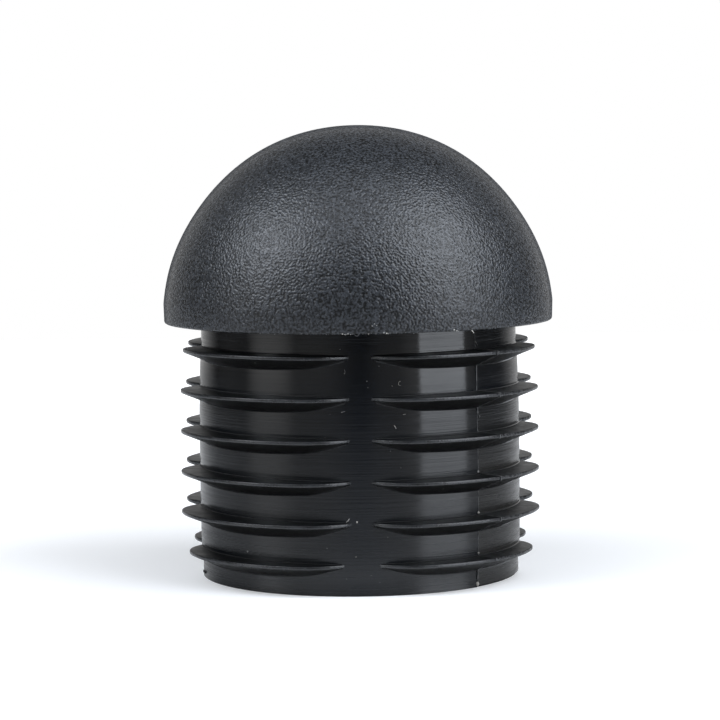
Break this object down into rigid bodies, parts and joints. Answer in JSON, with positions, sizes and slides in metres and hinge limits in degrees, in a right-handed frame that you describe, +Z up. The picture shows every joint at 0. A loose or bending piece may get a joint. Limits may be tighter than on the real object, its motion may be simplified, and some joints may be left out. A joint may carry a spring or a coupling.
{
  "type": "tube end cap",
  "caption": "Domed push-in insert that closes the end of a round tube: a half-ball head on a hollow barrel ringed by tiers of thin flexible crescent fins",
  "frame": {"origin": "on the axis, in the plane of the barrel's open end, on which the part stands", "axes": "+Z runs up the axis to the top of the dome. +X and +Y point at two of the four upright gaps between the fins, so the crescents lie on the diagonals"},
  "size_m": [0.05, 0.05, 0.0576],
  "materials": {
    "domed_insert": "black polyethylene as moulded: fine eroded grain on the dome, plain and half glossy on the barrel and fins"
  },
  "bodies": {
    "root": {"domed_insert": "domed_insert"}
  },
  "joints": []
}
